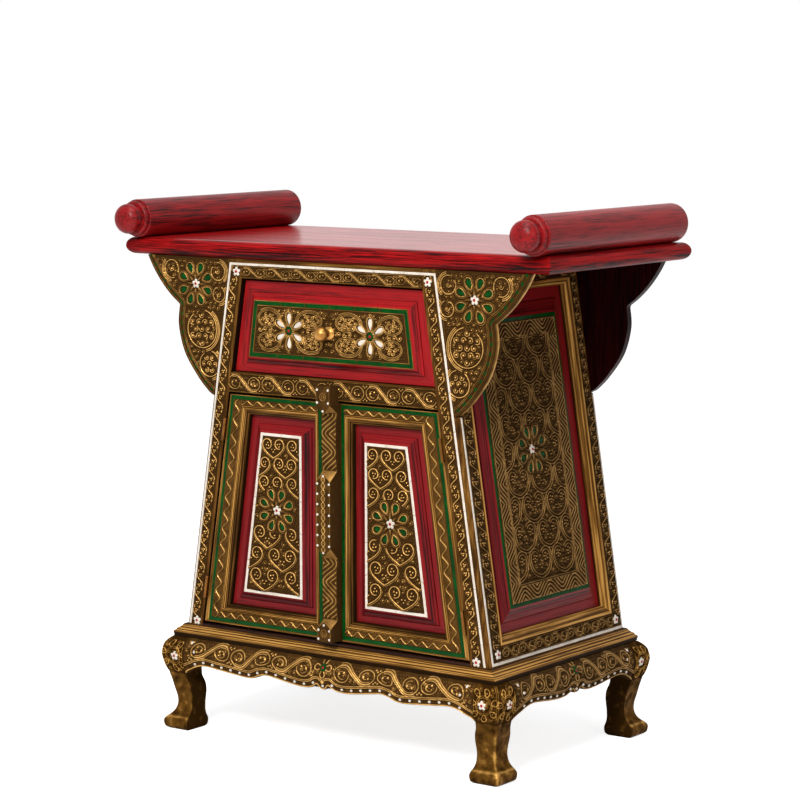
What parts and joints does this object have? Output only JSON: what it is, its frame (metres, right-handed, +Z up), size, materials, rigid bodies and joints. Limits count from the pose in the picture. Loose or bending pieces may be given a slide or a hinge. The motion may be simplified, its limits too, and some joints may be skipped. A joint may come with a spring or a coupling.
{
  "type": "altar cabinet",
  "caption": "Lacquered altar cabinet with gilt carved frame, sloping sides, drawer above hinged doors, scroll-ended top board on side wings, and a low stand on cabriole legs.",
  "frame": {"origin": "on the floor, at the middle of the bottom of the whole outline, scroll knops included", "axes": "+Z up, -Y towards the front with the drawer and doors, +X to the right seen from the front"},
  "size_m": [0.833, 0.4614, 0.8583],
  "materials": {
    "red_lacquer": "gloss red lacquer over wood, dark where worn",
    "dark_lacquer": "thin dark red lacquer",
    "gilt_carving": "gilded carving with dark recesses",
    "gilt_moulding": "streaky satin gilding",
    "bare_wood": "unfinished",
    "brass": "polished",
    "steel": "plain"
  },
  "bodies": {
    "root": {"top_board": "red_lacquer", "left_scroll": "red_lacquer", "right_scroll": "red_lacquer", "front_left_wing": "gilt_carving", "front_right_wing": "gilt_carving", "rear_left_wing": "dark_lacquer", "rear_right_wing": "dark_lacquer", "front_left_post": "gilt_carving", "front_right_post": "gilt_carving", "rear_left_post": "gilt_carving", "rear_right_post": "gilt_carving", "front_top_rail": "gilt_carving", "front_mid_rail": "gilt_carving", "front_sill_rail": "dark_lacquer", "left_side_top_rail": "gilt_carving", "left_side_bottom_rail": "gilt_carving", "left_side_moulding": "gilt_moulding", "left_side_panel": "red_lacquer", "right_side_top_rail": "gilt_carving", "right_side_bottom_rail": "gilt_carving", "right_side_moulding": "gilt_moulding", "right_side_panel": "red_lacquer", "back_panel": "dark_lacquer", "bottom_board": "bare_wood", "dust_board": "bare_wood", "left_lower_hinge_frame_leaf": "brass", "left_upper_hinge_frame_leaf": "brass", "right_lower_hinge_frame_leaf": "brass", "right_upper_hinge_frame_leaf": "brass", "stand_top": "gilt_moulding", "front_apron": "gilt_carving", "rear_apron": "gilt_carving", "left_apron": "gilt_carving", "right_apron": "gilt_carving", "front_left_leg": "gilt_carving", "front_right_leg": "gilt_carving", "rear_left_leg": "gilt_carving", "rear_right_leg": "gilt_carving"},
    "drawer": {"drawer_front": "red_lacquer", "drawer_left_side": "bare_wood", "drawer_right_side": "bare_wood", "drawer_back": "bare_wood", "drawer_bottom": "bare_wood", "drawer_knob": "brass", "drawer_knob_screw": "steel"},
    "left_door": {"left_door_bottom_rail": "gilt_moulding", "left_door_hinge_stile": "gilt_moulding", "left_door_top_rail": "gilt_moulding", "left_door_meeting_stile": "gilt_moulding", "left_door_panel": "red_lacquer", "door_pull_bar": "gilt_carving", "left_lower_hinge_door_leaf": "brass", "left_upper_hinge_door_leaf": "brass"},
    "right_door": {"right_door_bottom_rail": "gilt_moulding", "right_door_hinge_stile": "gilt_moulding", "right_door_top_rail": "gilt_moulding", "right_door_meeting_stile": "gilt_moulding", "right_door_panel": "red_lacquer", "right_lower_hinge_door_leaf": "brass", "right_upper_hinge_door_leaf": "brass"}
  },
  "joints": [
    {"name": "drawer_slide", "type": "slide", "parent": "root", "child": "drawer", "axis": [0, -1, 0], "range_m": [0, 0.22]},
    {"name": "left_door_hinge", "type": "hinge", "parent": "root", "child": "left_door", "pos_m": [-0.23309, -0.1804, 0.3685], "axis": [-0.1551, 0, -0.9879], "range_deg": [0, 120]},
    {"name": "right_door_hinge", "type": "hinge", "parent": "root", "child": "right_door", "pos_m": [0.23309, -0.1804, 0.3685], "axis": [-0.1551, 0, 0.9879], "range_deg": [0, 120]}
  ]
}
